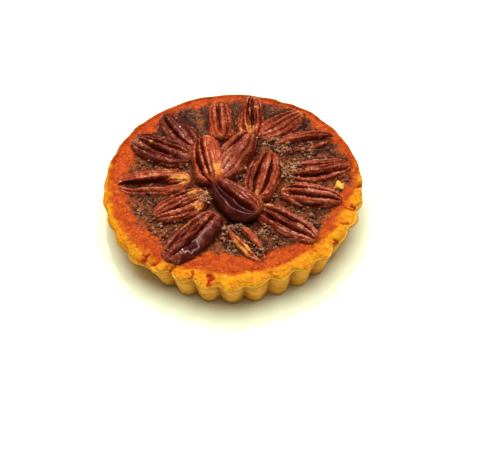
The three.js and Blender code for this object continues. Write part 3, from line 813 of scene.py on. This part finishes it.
def make_nut_crumbs(height_at, material):
    """Crumbs on the brown middle, neither down in a gap nor higher up a nut than they may lie."""
    stream = random_from(211)
    chips, shades = [], []
    for x, y, spread, count, paleness, ceiling in CRUMB_PATCHES:
        for _ in range(count):
            aside, along = scattered(stream, spread)
            size = between(*CRUMB_SIZE, next(stream) ** 2)
            spin = [next(stream) for _ in range(5)]
            shade = min(1, max(0, paleness + CRUMB_SHADES * (next(stream) - 0.6)))
            place = np.array([x + aside, y + along, 0])
            place[2] = height_at(*place[:2])
            inside = edge_at(BROWN_EDGE, math.atan2(place[1], place[0])) - math.hypot(*place[:2])
            if FILLING_HEIGHT - 3 < place[2] < ceiling and inside >= 0.5:
                chips.append(chip(place, size, spin, 3.1 * len(chips)))
                shades.append(shade)
    return joined_chips("nut_crumbs", chips, shades, material)


def make_pastry_crumb(height_at, material):
    """A pale crumb of pastry, made of a few knobs."""
    x, y, size = PASTRY_CRUMB
    chips, shades = [], []
    for i, (aside, along, share, shade) in enumerate(PASTRY_CRUMB_KNOBS):
        place = np.array([x + aside * size, y + along * size, 0])
        place[2] = height_at(*place[:2]) + 0.25 * size * share
        chips.append(chip(place, size * share, (0.5, 0.9, 0.9, 0.3 + 0.2 * i, 0.2), 40 + i))
        shades.append(shade)
    return joined_chips("pastry_crumb", chips, shades, material)


# Materials.

def tint(red, green, blue):
    """A colour given as it looks on a screen, from 0 to 255, as the shader's linear light."""
    parts = [c / 255 for c in (red, green, blue)]
    return (*[c / 12.92 if c <= 0.04045 else ((c + 0.055) / 1.055) ** 2.4 for c in parts], 1)


class Maker:
    """Adds nodes to one node tree."""

    def __init__(self, tree):
        self.tree = tree

    def feed(self, socket, value):
        if isinstance(value, bpy.types.NodeSocket):
            self.tree.links.new(value, socket)
        else:
            socket.default_value = value

    def add(self, kind, inputs, **settings):
        """A new node's outputs. Its inputs are given by name or number."""
        node = self.tree.nodes.new(f"ShaderNode{kind}")
        for name, value in settings.items():
            setattr(node, name, value)
        for name, value in inputs.items():
            self.feed(node.inputs[name], value)
        return node.outputs

    def mask(self, name, output="Fac", share=1):
        """A mask of the piece, at a share of its strength."""
        value = self.add("Attribute", {}, attribute_name=name)[output]
        return value if share == 1 else self.math("MULTIPLY", value, share)

    def mix(self, share, first, second):
        return self.add("Mix", {0: share, 6: first, 7: second}, data_type="RGBA")[2]

    def math(self, how, first, second):
        return self.add("Math", {0: first, 1: second}, operation=how)[0]

    def spread(self, value, low, high, start=0, end=1):
        """Turns low..high into start..end, smoothly."""
        inputs = dict(enumerate((value, low, high, start, end)))
        return self.add("MapRange", inputs, interpolation_type="SMOOTHSTEP")[0]

    def noise(self, place, scale, detail, roughness):
        inputs = {"Vector": place, "Scale": scale, "Detail": detail, "Roughness": roughness}
        return self.add("TexNoise", inputs)["Fac"]

    def group(self, which, **inputs):
        return self.add("Group", inputs, node_tree=which)


def new_group(name, inputs, outputs):
    """A shader node group with those named sockets, its maker and its two ends."""
    group = bpy.data.node_groups.new(name, "ShaderNodeTree")
    for way, sockets in (("INPUT", inputs), ("OUTPUT", outputs)):
        for socket, kind in sockets.items():
            group.interface.new_socket(socket, in_out=way, socket_type=f"NodeSocket{kind}")
    given = group.nodes.new("NodeGroupInput").outputs
    return group, Maker(group), given, group.nodes.new("NodeGroupOutput").inputs


def build_mottle():
    """Patches of a second colour scattered over the first: Size in millimetres, Cover from 0 to 1
    and Edge, how softly they end."""
    group, make, given, result = new_group(
        "oven_mottle",
        {"Place": "Vector", "Size": "Float", "Cover": "Float", "Edge": "Float", "Ground": "Color",
         "Patches": "Color"},
        {"Color": "Color"})
    noise = make.noise(given["Place"], make.math("DIVIDE", 1, given["Size"]), 3, 0.62)
    middle = make.math("SUBTRACT", 0.72, make.math("MULTIPLY", given["Cover"], 0.44))
    low = make.math("SUBTRACT", middle, given["Edge"])
    high = make.math("ADD", middle, given["Edge"])
    colour = make.mix(make.spread(noise, low, high), given["Ground"], given["Patches"])
    make.feed(result["Color"], colour)
    return group


def build_grain():
    """Fine grain for a bump's height: Size in millimetres."""
    group, make, given, result = new_group(
        "fine_grain", {"Place": "Vector", "Size": "Float"}, {"Height": "Float"})
    grain = make.noise(given["Place"], make.math("DIVIDE", 1, given["Size"]), 6, 0.65)
    make.feed(result["Height"], grain)
    return group


MOTTLE = build_mottle()
GRAIN = build_grain()


def mottled(make, place, size, cover, edge, ground, patches):
    return make.group(MOTTLE, Place=place, Size=size, Cover=cover, Edge=edge, Ground=ground,
                      Patches=patches)["Color"]


def new_material(name, roughness, specular, coat=0, coat_roughness=0.2):
    material = bpy.data.materials.new(name)
    material.use_nodes = True
    shader = material.node_tree.nodes["Principled BSDF"].inputs
    shader["Roughness"].default_value = roughness
    shader["Coat Weight"].default_value = coat
    shader["Coat Roughness"].default_value = coat_roughness
    shader["Specular IOR Level"].default_value = specular
    return material, Maker(material.node_tree), shader


def place_in_mm(make):
    """Places on the piece in millimetres."""
    where = make.add("TexCoord", {})["Object"]
    return make.add("VectorMath", {0: where, "Scale": 1 / MM}, operation="SCALE")[0]


def finish_material(make, shader, place, colour, size, height):
    """Gives the shader its colour and a bump of grain, of that size and height in millimetres."""
    make.feed(shader["Base Color"], colour)
    grain = make.group(GRAIN, Place=place, Size=size)["Height"]
    bump = make.add("Bump", {"Height": grain, "Distance": height * MM})
    make.feed(shader["Normal"], bump["Normal"])


def build_blush():
    """The pastry's and the skin's baked colours, from gold where Toasted is 0 to orange at 1, with
    a painted highlight on the gold where the rim's pebbles swell highest.
    """
    group, make, given, result = new_group(
        "oven_blush",
        {"Place": "Vector", "Toasted": "Float", "Swelling": "Float"},
        {"Color": "Color"})
    place = given["Place"]
    gold = mottled(make, place, 2.6, 0.5, 0.16, tint(228, 157, 22), tint(214, 130, 22))
    gold = mottled(make, place, 1.2, 0.28, 0.08, gold, tint(206, 100, 20))
    # painted highlight on the tops of the rim's swellings
    gold = make.mix(make.spread(given["Swelling"], 0.55, 0.95, 0, 0.6), gold, tint(240, 180, 48))
    orange = mottled(make, place, 3.4, 0.5, 0.2, tint(196, 80, 19), tint(154, 49, 14))
    orange = mottled(make, place, 1.3, 0.22, 0.1, orange, tint(218, 112, 38))
    orange = mottled(make, place, 0.9, 0.25, 0.1, orange, tint(140, 40, 12))
    make.feed(result["Color"], make.mix(given["Toasted"], gold, orange))
    return group


BLUSH = build_blush()


def pastry_material():
    material, make, shader = new_material("golden_shortcrust", 0.7, specular=0.06)
    place = place_in_mm(make)
    colour = make.group(BLUSH, Place=place, Toasted=make.mask("toasted"),
                        Swelling=make.mask("swelling_highlight"))["Color"]
    wall = mottled(make, place, 3.2, 0.5, 0.2, tint(244, 178, 70), tint(220, 142, 50))
    colour = make.mix(make.mask("wall"), colour, wall)
    # painted highlight along the lip's edge
    colour = make.mix(make.spread(make.mask("lip_highlight"), 0.3, 1, 0, 0.8), colour, tint(255, 204, 96))
    # painted shade in the creases between the wall's flutes
    colour = make.mix(make.mask("crease_shade"), colour, tint(150, 74, 20))
    # the crack's browner colour, with painted shade where the crack is deepest
    colour = make.mix(make.spread(make.mask("crack"), 0, 0.5, 0, 0.75), colour, tint(206, 84, 16))
    colour = make.mix(make.spread(make.mask("crack"), 0.35, 1, 0, 0.9), colour, tint(150, 38, 10))
    finish_material(make, shader, place, colour, 0.7, 0.35)
    return material


def filling_material():
    material, make, shader = new_material("baked_pecan_filling", 0.6, specular=0.05)
    place = place_in_mm(make)
    skin = make.group(BLUSH, Place=place, Toasted=make.mask("toasted"), Swelling=0.5)["Color"]
    middle = mottled(make, place, 5.0, 0.5, 0.2, tint(148, 75, 39), tint(104, 50, 28))
    middle = make.mix(make.mask("far_side"), middle, tint(92, 58, 46))
    middle = mottled(make, place, 1.7, 0.34, 0.1, middle, tint(78, 36, 22))
    middle = mottled(make, place, 2.4, 0.26, 0.08, middle, tint(166, 84, 30))
    middle = mottled(make, place, 1.1, 0.24, 0.07, middle, tint(190, 124, 76))
    # painted shade in the pits
    middle = make.mix(make.spread(make.mask("shaded_hollow"), 0.45, 0.95), middle, tint(44, 20, 12))
    # painted shade on the filling next to the nuts
    middle = make.mix(make.mask("shade_by_a_nut", share=0.8), middle, tint(46, 18, 10))
    finish_material(make, shader, place, make.mix(make.mask("brown"), skin, middle), 0.6, 0.3)
    return material


def pecan_material():
    material, make, shader = new_material("roasted_pecan", 0.5, specular=0.08, coat_roughness=0.11)
    place, ridge_highlight = make.mask("place", "Vector"), make.mask("ridge_highlight")
    warm = make.mix(make.mask("tone"), tint(96, 26, 20), tint(204, 82, 38))
    skin = mottled(make, place, 1.1, 0.42, 0.16, warm, make.mix(0.4, warm, tint(92, 22, 12)))
    skin = mottled(make, place, 0.42, 0.42, 0.1, skin, make.mix(0.5, skin, tint(70, 14, 6)))
    # painted highlight along the ridge tops
    skin = make.mix(make.spread(ridge_highlight, 0.45, 0.95, 0, 0.42), skin, tint(208, 114, 72))
    # painted glints: fine light specks over the skin
    skin = mottled(make, place, 0.36, 0.24, 0.06, skin, make.mix(0.5, skin, tint(240, 160, 100)))
    glint_specks = make.mix(0.5, skin, tint(226, 150, 104))
    skin = mottled(make, place_in_mm(make), 0.6, 0.14, 0.05, skin, glint_specks)
    rubbed = mottled(make, place, 0.9, 0.4, 0.12, tint(232, 156, 72), tint(190, 92, 40))
    skin = make.mix(make.mask("pale"), skin, rubbed)
    # the glaze's own dark colour, with a painted highlight on its ridges
    glaze = make.mix(make.spread(ridge_highlight, 0.5, 0.95, 0, 0.7), tint(58, 14, 11), tint(160, 60, 50))
    skin = make.mix(make.mask("glazed", share=0.78), skin, glaze)
    # painted shade in the furrows and creases
    skin = make.mix(make.mask("groove"), skin, tint(68, 12, 6))
    # painted highlight on the blister's torn edge
    skin = make.mix(make.mask("burst", share=0.8), skin, tint(204, 176, 166))
    # painted shade on the low flanks and undersides
    skin = make.mix(make.mask("flank_shade", share=0.8), skin, tint(74, 14, 7))
    gloss = make.spread(ridge_highlight, 0.35, 0.8, 0, 0.65)
    gloss = make.math("MAXIMUM", gloss, make.mask("glazed", share=0.42))
    make.feed(shader["Coat Weight"], gloss)
    finish_material(make, shader, place, skin, 0.5, 0.25)
    return material


def crumb_material(name, dark, pale):
    material, make, shader = new_material(name, 0.5, specular=0.1, coat=0.25)
    place = place_in_mm(make)
    colour = make.mix(make.mask("shade"), dark, pale)
    colour = mottled(make, place, 0.7, 0.4, 0.1, colour, make.mix(0.5, colour, dark))
    finish_material(make, shader, place, colour, 0.4, 0.2)
    return material


# Camera, stage and light.

def make_camera():
    elevation, roll = math.radians(CAMERA_ELEVATION), math.radians(CAMERA_ROLL)
    back = Vector((0, -math.cos(elevation), math.sin(elevation)))
    right, up = Vector((1, 0, 0)), Vector((0, math.sin(elevation), math.cos(elevation)))
    to_right = math.cos(roll) * right + math.sin(roll) * up
    to_top = math.cos(roll) * up - math.sin(roll) * right
    camera = add_object("camera", bpy.data.cameras.new("camera"))
    camera.data.lens, camera.data.sensor_width = CAMERA_LENS, SENSOR_WIDTH
    camera.data.clip_start, camera.data.clip_end = (reach * MM for reach in CAMERA_SEES)
    camera.matrix_world = Matrix((to_right, to_top, back)).transposed().to_4x4()
    camera.location = (Vector(CAMERA_TARGET) + back * CAMERA_DISTANCE) * MM
    bpy.context.scene.camera = camera


def make_stage():
    half = FLOOR_SIZE / 2 * MM
    corners = [(-half, -half, 0), (half, -half, 0), (half, half, 0), (-half, half, 0)]
    mesh = bpy.data.meshes.new("floor")
    mesh.from_pydata(corners, [], [(0, 1, 2, 3)])
    material, _, shader = new_material("pale_floor", 0.9, specular=0.1)
    shader["Base Color"].default_value = FLOOR_COLOUR
    mesh.materials.append(material)
    add_object("floor", mesh)


def add_lamp(name, kind, place, energy):
    lamp = add_object(name, bpy.data.lights.new(name, kind))
    lamp.data.energy = energy
    lamp.location = place
    lamp.rotation_mode = "QUATERNION"
    lamp.rotation_quaternion = (-lamp.location).to_track_quat("-Z", "Y")
    return lamp.data


def make_light():
    add_lamp("soft_lamp", "SUN", Vector(LAMP_FROM), LAMP_STRENGTH).angle = math.radians(LAMP_SPREAD)
    add_lamp("small_lamp", "AREA", Vector(SPARKLE_AT) * MM, SPARKLE_POWER).size = SPARKLE_SIZE * MM
    world = bpy.data.worlds.new("studio")
    world.use_nodes = True
    background = world.node_tree.nodes["Background"].inputs
    background["Color"].default_value = (1, 1, 1, 1)
    background["Strength"].default_value = SKY_STRENGTH
    bpy.context.scene.world = world
    bpy.context.scene.view_settings.view_transform = "Standard"


# The pie.

def dress(piece, node=None):
    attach(piece, "root")
    if node:
        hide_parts(node)


make_camera()
make_stage()
make_light()

dress(make_case(pastry_material()), "crust")
filling = make_filling(filling_material())
dress(filling, "filling")
pecan = pecan_material()
nuts = [make_nut(number, nut, pecan) for number, nut in enumerate(NUTS, start=1)]
for number, nut in enumerate(nuts, start=1):
    dress(nut, f"pecan_{number:02d}")
height_at = heights_of([filling, *nuts])
nut_crumb = crumb_material("pecan_crumb", tint(78, 36, 20), tint(190, 132, 90))
dress(make_nut_crumbs(height_at, nut_crumb))
pastry_crumb = crumb_material("pastry_crumb", tint(200, 108, 26), tint(250, 188, 78))
dress(make_pastry_crumb(height_at, pastry_crumb))
